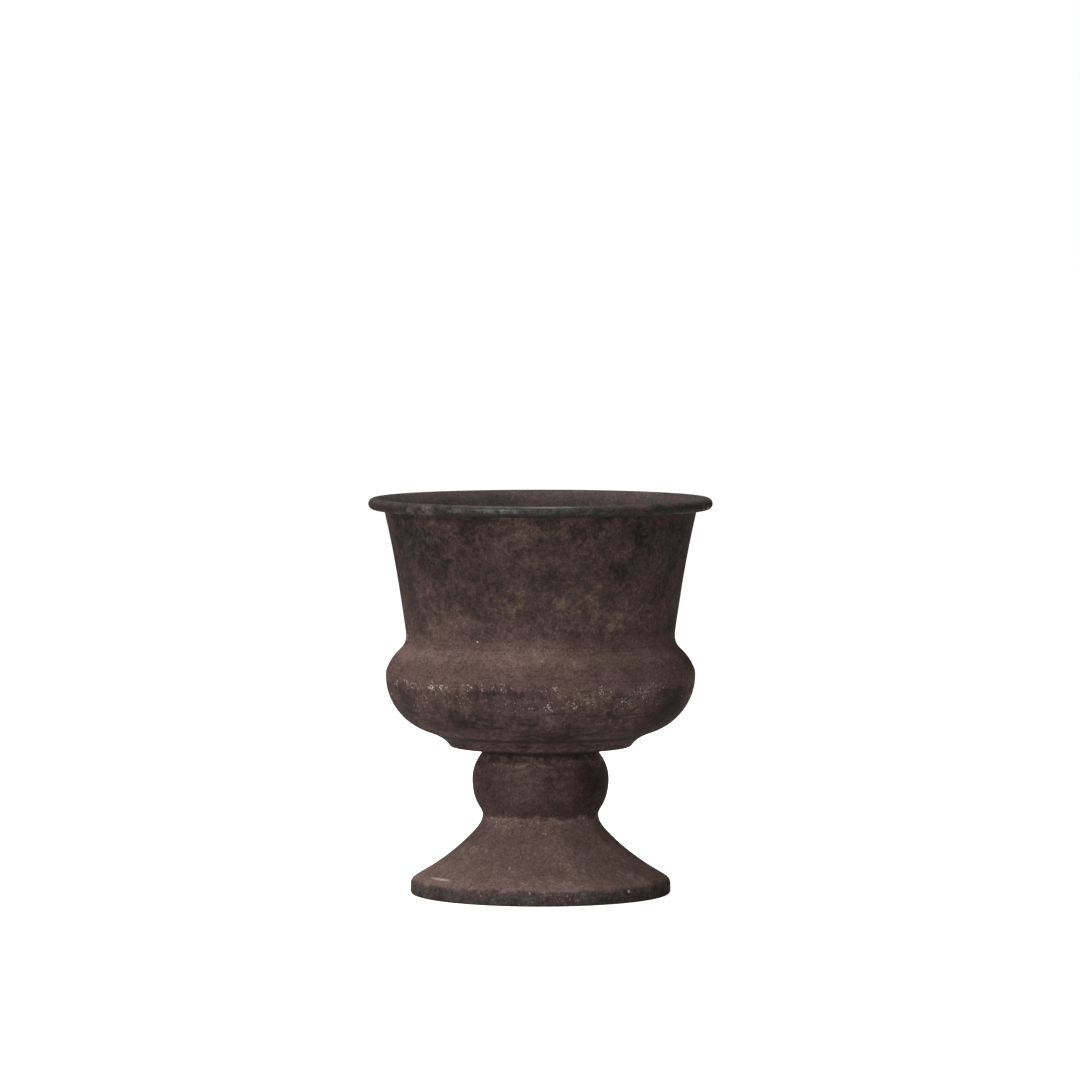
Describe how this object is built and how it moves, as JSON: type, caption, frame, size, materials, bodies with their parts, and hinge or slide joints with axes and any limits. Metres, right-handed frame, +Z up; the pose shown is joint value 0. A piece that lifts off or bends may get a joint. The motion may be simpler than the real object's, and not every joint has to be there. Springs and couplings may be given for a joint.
{
  "type": "metal urn planter",
  "caption": "Footed sheet-metal urn planter with a wired rim, flared wall, full belly, round stem knop and wide flared foot, for potted plants.",
  "frame": {"origin": "on the floor under the foot, on the urn's axis", "axes": "+Z up along the urn's axis, -Y towards the side that the picture shows, +X to its right"},
  "size_m": [0.2606, 0.2604, 0.3],
  "materials": {
    "aged_shell": "matte",
    "painted_weld": "matte",
    "iron_wire": "satin",
    "mild_steel": "satin",
    "zinc_steel": "satin"
  },
  "bodies": {
    "root": {"bowl_wall": "aged_shell", "bowl_belly": "aged_shell", "bowl_dish": "aged_shell", "stem_knop": "aged_shell", "foot_flare": "aged_shell", "bowl_neck_weld": "painted_weld", "belly_seam_weld": "painted_weld", "stem_neck_weld": "painted_weld", "bridge_welds": "painted_weld", "centre_bolt": "zinc_steel", "bowl_washer": "zinc_steel", "nut_washer": "zinc_steel", "lock_washer": "zinc_steel", "centre_nut": "zinc_steel", "rim_wire": "iron_wire", "stem_bridge": "mild_steel"}
  },
  "joints": []
}
